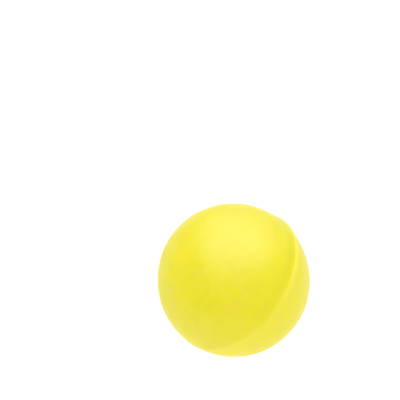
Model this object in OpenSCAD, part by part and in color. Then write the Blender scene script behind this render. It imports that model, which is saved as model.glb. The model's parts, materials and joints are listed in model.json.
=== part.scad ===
// Playground rubber ball: two moulded half shells cemented rim to rim, with the air sealed inside.
// Origin at the ball's centre, +Z up as the ball lies on the ground.
// The ball is drawn with its poles on Z, then tipped so that the seam leans about the Y axis.

/* [Ball] */
// Outside diameter of the round shell, without the seam's swell and lips
ball_d = 65; // [45:0.5:90]
// Thickness of the rubber wall
wall_t = 4; // [2.5:0.1:6]
// Lean of the seam's plane from level, in degrees
seam_lean = 41; // [0:1:60]
// Colour of the rubber
rubber_colour = "yellow"; // [yellow, red, blue, purple]

/* [Seam] */
// Thickness of the cured cement between the two rims
film_t = 0.3; // [0.1:0.05:0.6]
// How far each cup's wall swells out at its rim, beyond the round shell
rim_swell = 0.5; // [0.2:0.1:1]
// Height above the joint at which the swell has run out into the round shell
swell_reach = 6; // [4:0.5:10]
// Height of each rim's lip above the swell
lip_h = 0.3; // [0.2:0.05:0.45]
// Radius of each lip's rounded section
lip_r = 0.5; // [0.4:0.05:0.8]
// How much of each lip's round is trimmed off square at the joint
lip_trim = 0.2; // [0.1:0.05:0.3]
// Depth of the groove over the cement, below the rims' outer edges
film_recess = 0.05; // [0.05:0.05:0.4]
// Radius of the bead of cement squeezed out along the inside of the joint
squeeze_r = 0.8; // [0.4:0.1:1.5]

/* [Inflation plug] */
// Diameter of the self-sealing plug where it is bonded to the inside of the wall
plug_d = 12; // [8:0.5:18]
// Height of the plug above the inside of the wall
plug_h = 4; // [3:0.5:7]
// Width of the shallow needle spot on the outside, over the plug
spot_w = 3; // [2:0.5:5]
// Depth of the needle spot
spot_depth = 0.5; // [0.2:0.1:1]

/* [Hidden] */
$fn = 180;

// Radii of the round shell's two surfaces
outer_r = ball_d / 2;
inner_r = outer_r - wall_t;

// The rims face each other across the cement film
rim_z = film_t / 2;

// The swell is a cone that leaves the round shell near swell_reach and ends sunk just under it
swell_sink = 0.05;
swell_top_r = sqrt(pow(outer_r, 2) - pow(swell_reach, 2)) - swell_sink;

// Each lip's section is a circle that stands lip_h above the swell and is trimmed at the rim
lip_centre_r = outer_r + rim_swell + lip_h - lip_r;
lip_centre_z = rim_z + lip_r - lip_trim;

// The rim's flat face ends where the trim cuts the lip's round
rim_edge_r = lip_centre_r + sqrt(pow(lip_r, 2) - pow(lip_r - lip_trim, 2));

// The plug is a low dome: its edge lies on the wall at plug_d, its top stands plug_h off the wall
plug_edge_z = sqrt(pow(inner_r, 2) - pow(plug_d / 2, 2));
plug_dome_h = plug_edge_z - (inner_r - plug_h);
plug_dome_r = ball_radius(plug_d, plug_dome_h);
plug_dome_z = inner_r - plug_h + plug_dome_r;

// The needle spot is the print of a small ball pressed into the outside
spot_edge_z = sqrt(pow(outer_r, 2) - pow(spot_w / 2, 2));
spot_print_h = spot_depth - (outer_r - spot_edge_z);
spot_r = ball_radius(spot_w, spot_print_h);
spot_z = outer_r - spot_depth + spot_r;

// Radius of the ball whose cap has this width and height
function ball_radius(cap_w, cap_h) = (pow(cap_w / 2, 2) + pow(cap_h, 2)) / (2 * cap_h);

// Tips the ball from its own poles to the way it lies
module as_it_lies() {
    rotate([0, -seam_lean, 0]) children();
}

// A round ring about the poles, from a circle of radius r
module ring(centre_r, centre_z, r) {
    rotate_extrude() translate([centre_r, centre_z]) circle(r = r);
}

// One moulded cup with its rim at the joint, pole up, with the lip left by trimming the mould flash
module half_shell() {
    difference() {
        union() {
            sphere(r = outer_r);
            cylinder(h = swell_reach, r1 = outer_r + rim_swell, r2 = swell_top_r);
            ring(lip_centre_r, lip_centre_z, lip_r);
        }
        sphere(r = inner_r);
        // everything past the rim's flat face
        translate([0, 0, rim_z - ball_d]) cylinder(r = ball_d, h = ball_d);
    }
}

module upper_half_shell() {
    color(rubber_colour) as_it_lies() half_shell();
}

// The half that holds the plug, marked outside by the needle spot
module lower_half_shell() {
    color(rubber_colour) as_it_lies() mirror([0, 0, 1]) difference() {
        half_shell();
        translate([0, 0, spot_z]) sphere(r = spot_r);
    }
}

// The cured rubber cement: a flat film between the rims and the bead squeezed out inside the ball
module seam_cement() {
    color("khaki") as_it_lies() union() {
        difference() {
            cylinder(r = rim_edge_r - film_recess, h = film_t, center = true);
            cylinder(r = inner_r - squeeze_r / 2, h = 2 * film_t, center = true);
        }
        intersection() {
            ring(inner_r, 0, squeeze_r);
            sphere(r = inner_r);
        }
    }
}

// The lump of soft rubber that closes again behind the inflating needle
module inflation_plug() {
    color("burlywood") as_it_lies() mirror([0, 0, 1]) intersection() {
        sphere(r = inner_r);
        translate([0, 0, plug_dome_z]) sphere(r = plug_dome_r);
    }
}

upper_half_shell();
lower_half_shell();
seam_cement();
inflation_plug();
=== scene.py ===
"""The looks of a hollow playground ball of yellow rubber: two moulded cups cemented rim to rim.

Every piece is a profile carried round the ball's own axis, which runs through its two poles. Lengths are in
metres.
"""
import json
import math

import bpy
import numpy as np
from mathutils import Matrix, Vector


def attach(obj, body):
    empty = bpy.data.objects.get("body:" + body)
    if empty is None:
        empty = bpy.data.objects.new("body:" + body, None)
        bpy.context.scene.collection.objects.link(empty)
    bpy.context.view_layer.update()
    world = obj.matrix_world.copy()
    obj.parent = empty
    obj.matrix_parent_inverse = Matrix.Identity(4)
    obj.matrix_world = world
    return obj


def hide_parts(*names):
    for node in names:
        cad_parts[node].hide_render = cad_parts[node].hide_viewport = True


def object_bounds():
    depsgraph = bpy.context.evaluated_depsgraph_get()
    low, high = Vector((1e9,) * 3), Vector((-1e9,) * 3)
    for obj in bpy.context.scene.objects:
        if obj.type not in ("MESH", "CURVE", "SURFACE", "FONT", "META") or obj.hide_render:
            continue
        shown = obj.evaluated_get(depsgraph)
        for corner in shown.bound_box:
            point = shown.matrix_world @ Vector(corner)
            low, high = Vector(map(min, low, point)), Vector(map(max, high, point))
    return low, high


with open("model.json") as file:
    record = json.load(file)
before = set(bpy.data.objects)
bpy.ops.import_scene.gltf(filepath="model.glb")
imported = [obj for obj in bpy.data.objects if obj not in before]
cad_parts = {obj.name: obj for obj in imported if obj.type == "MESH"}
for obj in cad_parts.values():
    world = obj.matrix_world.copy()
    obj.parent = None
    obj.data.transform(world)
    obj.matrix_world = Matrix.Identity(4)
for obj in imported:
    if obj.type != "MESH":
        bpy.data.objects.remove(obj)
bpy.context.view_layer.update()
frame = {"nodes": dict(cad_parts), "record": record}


# ---- Upper half shell --------------------------------------------------------------------------------------
# A cup of yellow rubber, compression moulded in a smooth steel mould and coloured through. Its wall runs out
# straight to the rim, where the trimmed mould flash leaves a low uneven lip with a pale band along it, buffed
# and partly a painted highlight.
# Talc from the mould still dusts the inside.

MM = 0.001

needle_spot = next(m for m in frame["record"]["mounts"] if m["name"] == "needle_spot")
upper_pole = -np.array(needle_spot["axis"], float)
upper_pole /= np.linalg.norm(upper_pole)
level = np.array([0.0, 1.0, 0.0])  # at right angles to the poles' axis; turns round it are counted from here


def seen_from_axis(node):
    """Radius from the poles' axis and height along the upper pole of every corner of a CAD node."""
    mesh = frame["nodes"][node].data
    flat = np.empty(len(mesh.vertices) * 3, np.float32)
    mesh.vertices.foreach_get("co", flat)
    corners = flat.reshape(-1, 3).astype(float)
    height = corners @ upper_pole
    return np.linalg.norm(corners - height[:, None] * upper_pole, axis=1), height


cup_radius, cup_height = seen_from_axis("upper_half_shell")
shell_r = cup_height.max()
rim_height = cup_height.min()
inner_r = np.hypot(cup_radius, cup_height).min()
lip_crest_r = cup_radius.max()
lip_crest_height = cup_height[cup_radius.argmax()]

TURNS = 520
UPPER_SEED = 11

# The lip at the rim, and the pale band along it, buffed and partly a painted highlight
LIP_RISE = 0.18 * MM
LIP_GROOVE_WIDTH = 1.80 * MM
LIP_OUTER_WIDTH = 0.35 * MM
LIP_KEPT = 0.88
LIP_WANDER = 0.14
LIP_RIPPLE = 0.06
NICK_DEPTH = 0.6
NICK_RARITY = 1.5
LEAST_LIP = 0.25
CLOSEST_TRIM = 0.22
THICK_LIP_SIDES = (math.radians(-85), math.radians(40))
THICK_LIP_NARROWNESS = 4
PALE_BAND_FULL = 0.75 * MM
PALE_BAND_END = 1.70 * MM

# The swell of the wall at the rim, and the shallow trough behind it
FULLER_SIDE = math.radians(-49)
FULLNESS_MEAN = 0.77
FULLNESS_SWING = 0.42
TROUGH_SIDE = math.radians(-92)
TROUGH_NARROWNESS = 6
TROUGH_DEPTH = 0.03 * MM
TROUGH_HEIGHT = 3.7 * MM
TROUGH_WIDTH = 1.9 * MM

LUMP = 0.06 * MM
SPOT_EDGE = 1.5 * MM

# How finely the surface is divided: over the lip, up the side, over the spot, across the rim and inside
LIP_ZONE = 2.1 * MM
SPOT_ZONE = 1.3 * SPOT_EDGE
LIP_STEPS = 30
SIDE_STEPS = 72
SPOT_STEPS = 18
RIM_STEPS = 6
INSIDE_STEPS = 32

# Edges that bend more than this are shaded sharp
SHARP_EDGE = math.radians(50)

rim_swell = lip_crest_r - LIP_RISE - shell_r


def waves(turn, counts, seed):
    """An uneven line round the ball: cosines of these whole numbers of waves, added with seeded phases.

    The sum is divided by the root of the number of waves, so it stays at about one either way.
    """
    phases = np.random.default_rng(seed).uniform(0, 2 * np.pi, len(counts))
    return sum(np.cos(count * turn + phase) for count, phase in zip(counts, phases)) / math.sqrt(len(counts))


def fullness(turn):
    """Share of the full swell round the ball, largest on the side where the mould stood a little open."""
    return FULLNESS_MEAN + FULLNESS_SWING * np.cos(turn - FULLER_SIDE)


def about(turn, side, narrowness):
    """A bell round the ball that is one at a side.

    It is e to the power of narrowness times (the cosine of the turn from that side, less one).
    """
    return np.exp(narrowness * (np.cos(turn - side) - 1))


def lip_share(turn, seed):
    """Share of its full rise that the trimmed lip keeps round the ball: it wanders, ripples and has nicks.

    It is trimmed closer the further it is from the two sides where the moulds met least closely.
    """
    wander = LIP_WANDER * np.tanh(waves(turn, (2, 3, 5, 9, 14), seed))
    ripple = LIP_RIPPLE * waves(turn, (31, 44, 57, 73), seed + 1)
    nicks = NICK_DEPTH * np.clip(waves(turn, (11, 17, 23, 38), seed + 2) - NICK_RARITY, 0, 1)
    thick = sum(about(turn, side, THICK_LIP_NARROWNESS) for side in THICK_LIP_SIDES)
    trimmed = CLOSEST_TRIM + (1 - CLOSEST_TRIM) * thick
    return trimmed * np.clip(LIP_KEPT + wander + ripple - nicks, LEAST_LIP, 1)


def lip_arch(height):
    """Section of the lip, from zero to one: an arch, broad towards the joint and steep outside its crest."""
    width = np.where(height < lip_crest_height, LIP_GROOVE_WIDTH, LIP_OUTER_WIDTH)
    return np.clip(1 - ((height - lip_crest_height) / width) ** 2, 0, 1) ** 1.5


def pale_band(height):
    """Section of the pale band along the joint, buffed and partly a painted highlight, from zero to one: full
    over the lip, then gone.
    """
    share = np.clip((PALE_BAND_END - height) / (PALE_BAND_END - PALE_BAND_FULL), 0, 1)
    return share ** 2 * (3 - 2 * share)


def trough(height, turn):
    """Section of the shallow trough behind the lip, from zero to one: a bell over height and over turn."""
    over_height = np.exp(-((height - TROUGH_HEIGHT) / TROUGH_WIDTH) ** 2)
    return over_height * about(turn, TROUGH_SIDE, TROUGH_NARROWNESS)


def outer_radius(height, turn, seed):
    """Radius from the poles' axis of a cup's outside, at a height above the joint.

    A sphere with slow lumps, plus a swell that makes the wall run straight from the sphere to the rim: its
    rise times the square of one less the height over its reach, where the reach is the root of twice the rise
    times the ball's radius. Then the lip is added and the trough taken off.
    """
    rise = np.arcsin(np.clip(height / shell_r, 0, 1))
    lump = LUMP * waves(turn, (2, 3, 4), seed + 4) * np.sin(2 * rise) ** 2
    ball = np.sqrt(np.maximum((shell_r + lump) ** 2 - height ** 2, 0))
    swell_rise = rim_swell * fullness(turn)
    swell = swell_rise * np.clip(1 - height / np.sqrt(2 * shell_r * swell_rise), 0, 1) ** 2
    lip = LIP_RISE * lip_share(turn, seed) * lip_arch(height)
    return ball + swell + lip - TROUGH_DEPTH * trough(height, turn)


def carried_round(name, radius, height, pole, closed=False, **marks):
    """Carries a profile round the pole's axis, and gives the closed surface as a new object.

    radius and height are grids of profile step by turn. A point is height along the pole plus radius along a
    spoke that turns with the second parameter. An open profile starts and ends on the axis, where a whole row
    is one point; a closed one joins its last step to its first. Each mark is a grid of numbers kept on the
    points for the material.
    """
    steps, turns = radius.shape
    turn = np.linspace(0, 2 * np.pi, turns, endpoint=False)
    spoke = np.cos(turn)[:, None] * level + np.sin(turn)[:, None] * np.cross(pole, level)
    grid = height[..., None] * pole + radius[..., None] * spoke
    place = np.arange(steps * turns).reshape(steps, turns)
    if not closed:
        place[0], place[-1] = place[0, 0], place[-1, 0]
    here, below = (place, np.roll(place, -1, 0)) if closed else (place[:-1], place[1:])
    quads = np.stack([here, below, np.roll(below, -1, 1), np.roll(here, -1, 1)], -1).reshape(-1, 4)
    used, quads = np.unique(quads, return_inverse=True)
    quads = quads.reshape(-1, 4)
    at_start, at_end = quads[:, 0] == quads[:, 3], quads[:, 1] == quads[:, 2]
    walls = quads[~at_start & ~at_end].tolist()
    caps = quads[at_start][:, :3].tolist() + quads[at_end][:, [0, 1, 3]].tolist()
    mesh = bpy.data.meshes.new(name)
    mesh.from_pydata(grid.reshape(-1, 3)[used], [], walls + caps)
    mesh.shade_smooth()
    mesh.set_sharp_from_angle(angle=SHARP_EDGE)
    for mark, share in marks.items():
        share = np.broadcast_to(share, radius.shape).reshape(-1)[used]
        mesh.attributes.new(mark, "FLOAT", "POINT").data.foreach_set("value", share.astype(np.float32))
    piece = bpy.data.objects.new(name, mesh)
    bpy.context.scene.collection.objects.link(piece)
    return piece


def half_shell(name, pole, seed, turn_sign, trough_shade_strength, paler, press=None):
    """One cup: its outside from the pole down to the rim, the flat rim, and its inside back up to the pole.

    Steps are close together over the pole's spot and over the lip, and even in angle between. A press is a
    function of the radius from the axis that says how far the outside is pushed in along it.
    trough_shade_strength is the strength of the painted shade over the trough, a darker, more saturated
    strip, and paler is one for the cup whose colour is painted paler, as painted light reflected up from the
    floor.
    """
    turn = np.linspace(0, 2 * np.pi, TURNS, endpoint=False)
    side = turn_sign * turn
    over_lip = rim_height + np.linspace(0, LIP_ZONE, LIP_STEPS)
    spot_angle = math.acos(SPOT_ZONE / shell_r)
    up_the_side = shell_r * np.sin(np.linspace(math.asin(over_lip[-1] / shell_r), spot_angle, SIDE_STEPS))[1:]
    over_spot = shell_r * np.sin(np.linspace(spot_angle, np.pi / 2, SPOT_STEPS))[1:]
    height = np.concatenate([over_lip, up_the_side, over_spot])[::-1, None] * np.ones(TURNS)
    radius = outer_radius(height, side, seed)
    radius[0] = 0
    # Painted shade: a darker, more saturated strip over the trough behind the lip, where the hollow lies in
    # shade
    crest = pale_band(height) * lip_share(side, seed)
    trough_shade_mask = trough_shade_strength * trough(height, side)
    if press is not None:
        height = height - press(radius)
    rim_in = math.sqrt(inner_r ** 2 - rim_height ** 2)
    rim = rim_in + (radius[-1] - rim_in) * np.linspace(1, 0, RIM_STEPS)[1:-1, None]
    angle = np.linspace(math.asin(rim_height / inner_r), np.pi / 2, INSIDE_STEPS)[:, None] * np.ones(TURNS)
    inner_radius = inner_r * np.cos(angle)
    inner_radius[-1] = 0
    unmarked = np.zeros((len(rim) + len(angle), TURNS))
    return carried_round(
        name,
        np.concatenate([radius, rim, inner_radius]),
        np.concatenate([height, np.full_like(rim, rim_height), inner_r * np.sin(angle)]),
        pole,
        lip_crest=np.concatenate([crest, unmarked]),
        lip_trough=np.concatenate([trough_shade_mask, unmarked]),
        inside=np.concatenate([np.zeros_like(radius), np.ones_like(unmarked)]),
        paler_blank=np.full((len(radius) + len(unmarked), TURNS), float(paler)),
    )


def new_material(name):
    """A fresh material: its node tree, its shader, and the place of the surface point in the object."""
    material = bpy.data.materials.new(name)
    material.use_nodes = True
    tree = material.node_tree
    where = tree.nodes.new("ShaderNodeTexCoord").outputs["Object"]
    return material, tree, tree.nodes["Principled BSDF"], where


def added(tree, kind, inputs, output=0, **settings):
    """Adds a shader node with these settings, fills its inputs with numbers or links, and gives an output."""
    node = tree.nodes.new("ShaderNode" + kind)
    for setting, value in settings.items():
        setattr(node, setting, value)
    for socket, value in inputs.items():
        if isinstance(value, bpy.types.NodeSocket):
            tree.links.new(value, node.inputs[socket])
        else:
            node.inputs[socket].default_value = value
    return node.outputs[output]


def cloud(tree, where, size, detail=3, shift=0):
    """Noise from about 0.3 to 0.7 with blotches this large, looked up some way off so that no two agree."""
    moved = added(tree, "VectorMath", {0: where, 1: (shift, 0, 0)}, operation="ADD")
    return added(tree, "TexNoise", {"Vector": moved, "Scale": 1 / size, "Detail": detail})


def stepped(tree, value, low, high, low_out=0.0, high_out=1.0):
    """Carries a value smoothly from one range to another, and holds it at the ends."""
    ends = {"Value": value, "From Min": low, "From Max": high, "To Min": low_out, "To Max": high_out}
    return added(tree, "MapRange", ends, interpolation_type="SMOOTHSTEP")


def tinted(tree, amount, colour, over):
    """Lays a colour over another by an amount from zero to one."""
    node = tree.nodes.new("ShaderNodeMix")
    node.data_type = "RGBA"
    node.clamp_factor = True
    for socket, value in (("Factor_Float", amount), ("A_Color", over), ("B_Color", colour)):
        place = next(s for s in node.inputs if s.identifier == socket)
        if isinstance(value, bpy.types.NodeSocket):
            tree.links.new(value, place)
        else:
            place.default_value = value
    return next(s for s in node.outputs if s.identifier == "Result_Color")


def times(tree, value, factor):
    """The product of a value and a number or another value."""
    return added(tree, "Math", {0: value, 1: factor}, operation="MULTIPLY")


def plus(tree, value, other):
    """The sum of a value and a number or another value."""
    return added(tree, "Math", {0: value, 1: other}, operation="ADD")


def mark(tree, name):
    """A number kept on the points of the mesh."""
    return added(tree, "Attribute", {}, output=2, attribute_name=name)


SCUFF_DRAWN_OUT = (1, 0.05, 0.05)
SCUFFS_PER_METRE = 3500
SCUFF_PATCH = 9 * MM


def scuffs(tree, where, turn, shift):
    """Faint short scratches one way: noise that is drawn out and cut so that little is left, in patches."""
    turned = added(tree, "Mapping", {"Vector": where, "Rotation": turn, "Location": (shift, shift, shift)})
    drawn_out = added(tree, "VectorMath", {0: turned, 1: SCUFF_DRAWN_OUT}, operation="MULTIPLY")
    lines = added(tree, "TexNoise", {"Vector": drawn_out, "Scale": SCUFFS_PER_METRE, "Detail": 1})
    gathered = stepped(tree, cloud(tree, where, SCUFF_PATCH, 2, shift), 0.5, 0.66)
    return times(tree, stepped(tree, lines, 0.66, 0.76), gathered)


def specks(tree, where, apart, width, share):
    """Sparse round specks: one in the middle of some of the cells that a cell noise divides the surface into.

    Apart is the size of a cell, and share is how many of the cells hold a speck.
    """
    cells = added(tree, "TexVoronoi", {"Vector": where, "Scale": 1 / apart}, output="Distance")
    chosen = added(tree, "TexVoronoi", {"Vector": where, "Scale": 1 / apart}, output="Color")
    red = added(tree, "SeparateColor", {"Color": chosen})
    some = added(tree, "Math", {0: red, 1: share}, operation="LESS_THAN")
    return times(tree, stepped(tree, cells, 0.5 * width / apart, 0.2 * width / apart), some)


PIGMENT_DEEP = (0.822, 0.732, 0.000, 1)
PIGMENT_LIGHT = (0.885, 0.780, 0.003, 1)
# Painted shade for the trough behind the lip: a darker, more saturated copy of the pigment
TROUGH_SHADE_PAINT = (0.790, 0.725, 0.000, 1)
# Painted light: the lower cup's paler colour, standing in for light reflected up from the floor
LOWER_CUP_PAINTED_LIGHT = (0.940, 0.825, 0.002, 1)
# Pale band along the lip: buffed rubber, and partly a painted highlight on the lip's crest
BUFFED_PALE_AND_HIGHLIGHT = (0.995, 0.915, 0.070, 1)
BLOOM_PALE = (0.925, 0.840, 0.045, 1)
HANDLED_ROSE = (0.850, 0.700, 0.040, 1)
TOP_HIGHLIGHT_PAINT = (0.930, 0.870, 0.190, 1)
SPECK_PEACH = (0.980, 0.760, 0.260, 1)
SPECK_SCORCHED = (0.560, 0.400, 0.040, 1)
TALC = (0.900, 0.870, 0.560, 1)
PIGMENT_SIZE = 24 * MM
MOTTLE_SIZE = 3.2 * MM
BLOOM_SIZE = 13 * MM
HANDLED_SIZE = 7 * MM
# Painted highlight: a pale cap painted on the top of the ball, from this height up, with a ragged edge
TOP_HIGHLIGHT_SIZE = 6 * MM
TOP_HIGHLIGHT_FROM = 0.85 * shell_r
TOP_HIGHLIGHT_FULL = 1.05 * shell_r
TOP_HIGHLIGHT_RAGGED = 0.10 * shell_r
PALE_SPECKS = {"apart": 5.5 * MM, "width": 1.0 * MM, "share": 0.14}
SCORCHED_SPECKS = {"apart": 9 * MM, "width": 0.8 * MM, "share": 0.12}
PALE_BAND_RAGGED_SIZE = 1.2 * MM
SATIN_SIZE = 8 * MM
SATIN_ROUGHNESS = (0.38, 0.50)
PEEL_SIZE = 1.6 * MM
GRAIN_SIZE = 0.31 * MM
RELIEF = 0.04 * MM


def moulded_rubber():
    """Yellow rubber, coloured through: cloudy pigment, pale bloom, specks, scuffs and fine moulded grain,
    with
    painted light: a painted highlight on the top, painted shade over the trough behind the lip, a pale band
    along the lip that is buffed and partly a painted highlight, and the lower cup painted paler as light from
    the floor.
    """
    material, tree, shader, where = new_material("moulded_rubber")
    crest, trough_shade_mask, inside = mark(tree, "lip_crest"), mark(tree, "lip_trough"), mark(tree, "inside")
    pigment = stepped(tree, cloud(tree, where, PIGMENT_SIZE, 4), 0.32, 0.68)
    mottle = stepped(tree, cloud(tree, where, MOTTLE_SIZE, 3, 1), 0.35, 0.65)
    bloom = stepped(tree, cloud(tree, where, BLOOM_SIZE, 5, 2), 0.45, 0.70)
    handled = stepped(tree, cloud(tree, where, HANDLED_SIZE, 3, 8), 0.52, 0.66)
    # Painted highlight: the top of the ball is coloured paler by height, where the light from above falls
    up = added(tree, "SeparateXYZ", {"Vector": where}, output="Z")
    ragged_up = plus(tree, up, times(tree, cloud(tree, where, TOP_HIGHLIGHT_SIZE, 4, 9), TOP_HIGHLIGHT_RAGGED))
    top_highlight = stepped(tree, ragged_up, TOP_HIGHLIGHT_FROM, TOP_HIGHLIGHT_FULL)
    dots = specks(tree, where, **PALE_SPECKS)
    scorched = specks(tree, where, **SCORCHED_SPECKS)
    scratches = plus(tree, scuffs(tree, where, (0.4, 0.9, 0.2), 3), scuffs(tree, where, (1.3, 0.1, 1.1), 4))
    # Pale band along the lip: buffed rubber, and partly a painted highlight on the lip's crest
    buffed_and_highlight = times(tree, crest, stepped(tree, cloud(tree, where, PALE_BAND_RAGGED_SIZE, 3, 5), 0.25, 0.6, 0.6, 1.0))
    colour = tinted(tree, pigment, PIGMENT_LIGHT, PIGMENT_DEEP)

    # Each wash over the pigment: where it lies, how strong it is, and its colour. Four of them are painted
    # light.
    washes = (
        (mottle, 0.55, PIGMENT_LIGHT),
        # painted light: the lower cup painted paler, as light reflected up from the floor
        (mark(tree, "paler_blank"), 0.50, LOWER_CUP_PAINTED_LIGHT),
        (handled, 0.35, HANDLED_ROSE),
        (bloom, 0.30, BLOOM_PALE),
        # painted highlight on the top of the ball
        (top_highlight, 0.40, TOP_HIGHLIGHT_PAINT),
        # painted shade over the trough behind the lip
        (trough_shade_mask, 0.85, TROUGH_SHADE_PAINT),
        (scratches, 0.35, BLOOM_PALE),
        (dots, 0.60, SPECK_PEACH),
        (scorched, 0.30, SPECK_SCORCHED),
        # pale band along the lip, buffed and partly a painted highlight
        (buffed_and_highlight, 0.95, BUFFED_PALE_AND_HIGHLIGHT),
        (inside, 0.70, TALC),
    )
    for place, strength, wash in washes:
        colour = tinted(tree, times(tree, place, strength), wash, colour)
    tree.links.new(colour, shader.inputs["Base Color"])

    # Satin between its two roughnesses, then rougher where it is dusty, scuffed, buffed or on the inside
    rough = stepped(tree, cloud(tree, where, SATIN_SIZE, 4, 6), 0.35, 0.65, *SATIN_ROUGHNESS)
    for place, rougher in ((bloom, 0.05), (scratches, 0.15), (crest, 0.06), (inside, 0.35)):
        rough = plus(tree, rough, times(tree, place, rougher))
    tree.links.new(rough, shader.inputs["Roughness"])

    # Relief: the print of the mould's peel, a finer grain, and the scuffs cut into both
    grain = cloud(tree, where, GRAIN_SIZE, 2)
    peel = cloud(tree, where, PEEL_SIZE, 2, 7)
    height = plus(tree, plus(tree, times(tree, grain, 0.25), peel), times(tree, scratches, -0.4))
    bumped = {"Height": height, "Strength": 0.45, "Distance": RELIEF}
    tree.links.new(added(tree, "Bump", bumped), shader.inputs["Normal"])
    return material


rubber = moulded_rubber()
upper_shell = half_shell("upper_shell_skin", upper_pole, UPPER_SEED, 1, trough_shade_strength=1, paler=0)
upper_shell.data.materials.append(rubber)
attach(upper_shell, "root")
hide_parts("upper_half_shell")


# ---- Lower half shell --------------------------------------------------------------------------------------
# The second cup, from the same mould, turned to face the first, its colour painted slightly paler as painted
# light reflected up from the floor. A small round spot is moulded into its pole, over the plug inside, where
# the needle that filled the ball left a closed prick.

LOWER_SEED = 23
SPOT_DEPTH = shell_r - np.linalg.norm(needle_spot["pos_m"])
PRICK_EDGE = 0.35 * MM
PRICK_DEPTH = 0.15 * MM
lower_pole = -upper_pole


def needle_spot_press(radius):
    """How far the outside is pushed in: a dish with a soft edge, and the pit of the prick in its middle."""
    dish = SPOT_DEPTH * np.clip(1 - (radius / SPOT_EDGE) ** 2, 0, 1) ** 1.5
    return dish + PRICK_DEPTH * np.clip(1 - (radius / PRICK_EDGE) ** 2, 0, 1) ** 2


# paler=1 paints this cup paler as painted light from the floor; its trough carries a weaker painted shade
lower_shell = half_shell(
    "lower_shell_skin", lower_pole, LOWER_SEED, -1, trough_shade_strength=0.3, paler=1, press=needle_spot_press)
lower_shell.data.materials.append(rubber)
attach(lower_shell, "root")
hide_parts("lower_half_shell")


# ---- Seam cement -------------------------------------------------------------------------------------------
# Rubber cement brushed on both rims and cured under pressure. It is a thin film between the rims whose edge
# shows as a fine uneven line between the lips, and a round bead where it was squeezed out along the inside.

cement_radius = seen_from_axis("seam_cement")[0]
bead_r = inner_r - cement_radius.min()
FILM_BULGE = 0.015 * MM
FILM_WANDER = 0.8
BEAD_MEAN = 0.86
BEAD_WANDER = 0.12
EDGE_STEPS = 9
BEAD_STEPS = 14
FACE_STEPS = 5

turn = np.linspace(0, 2 * np.pi, TURNS, endpoint=False)
rim_r = np.minimum(
    outer_radius(rim_height, turn, UPPER_SEED), outer_radius(rim_height, turn, LOWER_SEED))
edge_share = np.linspace(1, -1, EDGE_STEPS)[:, None]
edge_bulge = FILM_BULGE * (1 + FILM_WANDER * np.tanh(waves(turn, (7, 12, 19, 33, 52), 31)))
edge_radius = rim_r + edge_bulge * (1 - edge_share ** 2)
edge_height = rim_height * edge_share * np.ones(TURNS)


def squeezed_bead(bead_radius):
    """Section of the bead from its lower edge on the wall, round its inward side, to its upper edge.

    It is an arc of a circle about the joint's place on the inner wall, ended where the circle meets the wall.
    """
    wall_angle = 2 * np.arcsin(bead_radius / (2 * inner_r))
    run = np.linspace(-1, 1, BEAD_STEPS)[:, None] * (np.pi / 2 - wall_angle / 2)
    return inner_r - bead_radius * np.cos(run), bead_radius * np.sin(run)


bead_wander = BEAD_WANDER * np.tanh(waves(turn, (3, 8, 13, 27), 37))
bead_radius, bead_height = squeezed_bead(bead_r * (BEAD_MEAN + bead_wander))
face_share = np.linspace(0, 1, FACE_STEPS)[1:-1, None]
wall_r = math.sqrt(inner_r ** 2 - rim_height ** 2)
face_radius = edge_radius[-1] + (wall_r - edge_radius[-1]) * face_share
cement = carried_round(
    "seam_cement_bead",
    np.concatenate([edge_radius, face_radius, bead_radius, face_radius[::-1]]),
    np.concatenate([edge_height, np.full_like(face_radius, -rim_height), bead_height,
                    np.full_like(face_radius, rim_height)]),
    upper_pole,
    closed=True,
)

CEMENT_AMBER = (0.870, 0.765, 0.008, 1)
CEMENT_YELLOW = (0.920, 0.825, 0.020, 1)
GROOVE_DUST = (0.930, 0.880, 0.200, 1)
THICK_SIZE = 2.5 * MM
GROOVE_DUST_SIZE = 6 * MM
BUBBLES = {"apart": 0.8 * MM, "width": 0.5 * MM, "share": 0.4}
SKIN_SIZE = 0.5 * MM
SKIN_RELIEF = 0.05 * MM


def cured_cement():
    """Rubber cement tinted by the cups: amber where thick, a bit dusty, with tiny bubbles in a shiny skin."""
    material, tree, shader, where = new_material("cured_cement")
    thick = stepped(tree, cloud(tree, where, THICK_SIZE, 3), 0.35, 0.65)
    dust = stepped(tree, cloud(tree, where, GROOVE_DUST_SIZE, 4, 1), 0.52, 0.7)
    colour = tinted(tree, thick, CEMENT_AMBER, CEMENT_YELLOW)
    colour = tinted(tree, times(tree, dust, 0.35), GROOVE_DUST, colour)
    tree.links.new(colour, shader.inputs["Base Color"])
    tree.links.new(stepped(tree, dust, 0, 1, 0.30, 0.60), shader.inputs["Roughness"])
    bubbles = specks(tree, where, **BUBBLES)
    skin = cloud(tree, where, SKIN_SIZE, 2, 2)
    height = plus(tree, skin, times(tree, bubbles, -0.5))
    bumped = {"Height": height, "Strength": 0.5, "Distance": SKIN_RELIEF}
    tree.links.new(added(tree, "Bump", bumped), shader.inputs["Normal"])
    return material


cement.data.materials.append(cured_cement())
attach(cement, "root")
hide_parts("seam_cement")


# ---- Inflation plug ----------------------------------------------------------------------------------------
# A lump of soft self-sealing gum rubber, poured and bonded to the inside of the lower cup at its pole. The
# filling needle is pushed through it, and the gum closes again behind the needle.

plug_radius, plug_height = seen_from_axis("inflation_plug")
plug_edge_r = plug_radius.max()
plug_edge_height = math.sqrt(inner_r ** 2 - plug_edge_r ** 2)
plug_top_height = -plug_height.max()
PLUG_TURNS = 128
PLUG_STEPS = 26
DIMPLE_DEPTH = 0.35 * MM
DIMPLE_R = 1.6 * MM
SLUMP = 0.12 * MM

out = np.sin(np.linspace(0, np.pi / 2, PLUG_STEPS))[:, None] * np.ones(PLUG_TURNS)
plug_turn = np.linspace(0, 2 * np.pi, PLUG_TURNS, endpoint=False)


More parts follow.
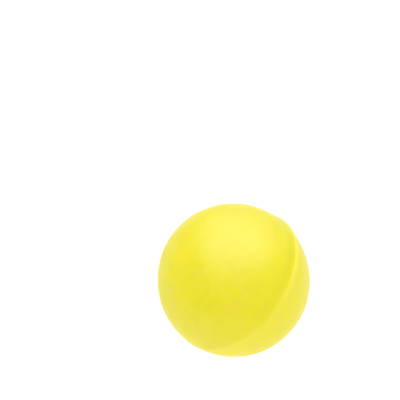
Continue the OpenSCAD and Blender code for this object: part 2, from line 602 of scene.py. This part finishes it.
def poured_dome(share):
    """Height of the plug's free side along the lower pole, at a share of its edge's radius.

    A low dome whose drop is one less the share squared, with slow waves that fade at the edge and the middle,
    and a round dimple in the middle where the gum shrank as it cured.
    """
    dome = (plug_edge_height - plug_top_height) * (1 - share ** 2)
    slump = SLUMP * waves(plug_turn, (2, 3, 5), 41) * np.sin(np.pi * share ** 2)
    dimple = DIMPLE_DEPTH * np.exp(-(share * plug_edge_r / DIMPLE_R) ** 2)
    return plug_edge_height - dome + slump + dimple


plug = carried_round(
    "plug_body",
    plug_edge_r * np.concatenate([out, out[-2::-1]]),
    np.concatenate([np.sqrt(inner_r ** 2 - (plug_edge_r * out) ** 2), poured_dome(out[-2::-1])]),
    lower_pole,
)

GUM_DARK = (0.420, 0.235, 0.060, 1)
GUM_LIGHT = (0.640, 0.430, 0.150, 1)
GUM_CLOUD_SIZE = 3 * MM
GUM_TALC_SIZE = 4 * MM
GUM_WRINKLE_SIZE = 0.7 * MM
GUM_RELIEF = 0.08 * MM


def self_sealing_gum():
    """Soft natural gum: honey brown with cloudy depth, smeared with talc, and faintly wrinkled."""
    material, tree, shader, where = new_material("self_sealing_gum")
    depth = stepped(tree, cloud(tree, where, GUM_CLOUD_SIZE, 4), 0.3, 0.7)
    talc = stepped(tree, cloud(tree, where, GUM_TALC_SIZE, 5, 1), 0.5, 0.68)
    colour = tinted(tree, times(tree, talc, 0.4), TALC, tinted(tree, depth, GUM_LIGHT, GUM_DARK))
    tree.links.new(colour, shader.inputs["Base Color"])
    tree.links.new(stepped(tree, talc, 0, 1, 0.35, 0.75), shader.inputs["Roughness"])
    wrinkles = cloud(tree, where, GUM_WRINKLE_SIZE, 4, 2)
    bumped = {"Height": wrinkles, "Strength": 0.6, "Distance": GUM_RELIEF}
    tree.links.new(added(tree, "Bump", bumped), shader.inputs["Normal"])
    return material


plug.data.materials.append(self_sealing_gum())
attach(plug, "root")
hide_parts("inflation_plug")


# ---- Floor -------------------------------------------------------------------------------------------------
# A white table of opal sheet, lit from beneath where the ball stands so that almost no shadow falls on it.
# Its glow falls off with distance to the brightness of the tent's foot, so that the two meet without an edge.

FLOOR_REACH = 6.0
LIT_REACH = 0.10
DIM_REACH = 0.90
GLOW_NEAR = 0.96
GLOW_FAR = 0.36

floor_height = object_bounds()[0][2]
corner_signs = np.array([(-1, -1, 0), (1, -1, 0), (1, 1, 0), (-1, 1, 0)])
floor_mesh = bpy.data.meshes.new("floor")
floor_mesh.from_pydata(corner_signs * FLOOR_REACH + (0, 0, floor_height), [], [(0, 1, 2, 3)])
floor = bpy.data.objects.new("floor", floor_mesh)
bpy.context.scene.collection.objects.link(floor)

opal, opal_tree, opal_shader, opal_place = new_material("opal_sheet")
opal_shader.inputs["Base Color"].default_value = (0.20, 0.20, 0.20, 1)
opal_shader.inputs["Roughness"].default_value = 0.9
opal_shader.inputs["Specular IOR Level"].default_value = 0.1
opal_shader.inputs["Emission Color"].default_value = (1, 1, 1, 1)
from_ball = added(opal_tree, "VectorMath", {0: opal_place}, output="Value", operation="LENGTH")
glow = stepped(opal_tree, from_ball, LIT_REACH, DIM_REACH, GLOW_NEAR, GLOW_FAR)
opal_tree.links.new(glow, opal_shader.inputs["Emission Strength"])
floor_mesh.materials.append(opal)


# ---- Camera ------------------------------------------------------------------------------------------------
# Half way up and a little to one side, about four ball diameters off. The ball lies to the right of the
# view's middle and below it.

AZIMUTH = math.radians(7.7)
ELEVATION = math.radians(49.6)
LENS = 56
BACK = 8.228
BALL_TO_RIGHT = 0.4376
BALL_BELOW = 1.045

away = Vector((-math.sin(AZIMUTH), math.cos(AZIMUTH), 0))
right = Vector((math.cos(AZIMUTH), math.sin(AZIMUTH), 0))
back = Vector((0, 0, math.sin(ELEVATION))) - away * math.cos(ELEVATION)
camera_data = bpy.data.cameras.new("camera")
camera_data.lens = LENS
camera = bpy.data.objects.new("camera", camera_data)
camera.location = shell_r * (BACK * back - BALL_TO_RIGHT * right + BALL_BELOW * back.cross(right))
camera.rotation_mode = "QUATERNION"
camera.rotation_quaternion = (-back).to_track_quat("-Z", "Y")
bpy.context.scene.collection.objects.link(camera)
bpy.context.scene.camera = camera


# ---- Light -------------------------------------------------------------------------------------------------
# A pale tent all round that brightens from its foot to its top, and a wide round softbox that hangs over the
# ball and behind it.

TENT_FOOT = 0.57
TENT_TOP = 1.05
TENT_FULL_AT = 0.75
SOFTBOX_WIDTH = 1.2
SOFTBOX_UP = 0.90
SOFTBOX_BEHIND = 0.44
SOFTBOX_WATTS = 2.6

tent = bpy.data.worlds.new("tent")
tent.use_nodes = True
direction = tent.node_tree.nodes.new("ShaderNodeTexCoord").outputs["Generated"]
upward = added(tent.node_tree, "SeparateXYZ", {"Vector": direction}, output="Z")
background = tent.node_tree.nodes["Background"]
background.inputs["Color"].default_value = (1, 1, 1, 1)
brightness = stepped(tent.node_tree, upward, 0, TENT_FULL_AT, TENT_FOOT, TENT_TOP)
tent.node_tree.links.new(brightness, background.inputs["Strength"])
bpy.context.scene.world = tent

softbox_data = bpy.data.lights.new("softbox", "AREA")
softbox_data.shape = "DISK"
softbox_data.size = SOFTBOX_WIDTH
softbox_data.energy = SOFTBOX_WATTS
softbox = bpy.data.objects.new("softbox", softbox_data)
softbox.location = SOFTBOX_BEHIND * away + Vector((0, 0, SOFTBOX_UP))
softbox.rotation_mode = "QUATERNION"
softbox.rotation_quaternion = (-softbox.location).to_track_quat("-Z", "Y")
bpy.context.scene.collection.objects.link(softbox)

bpy.context.scene.view_settings.view_transform = "Standard"
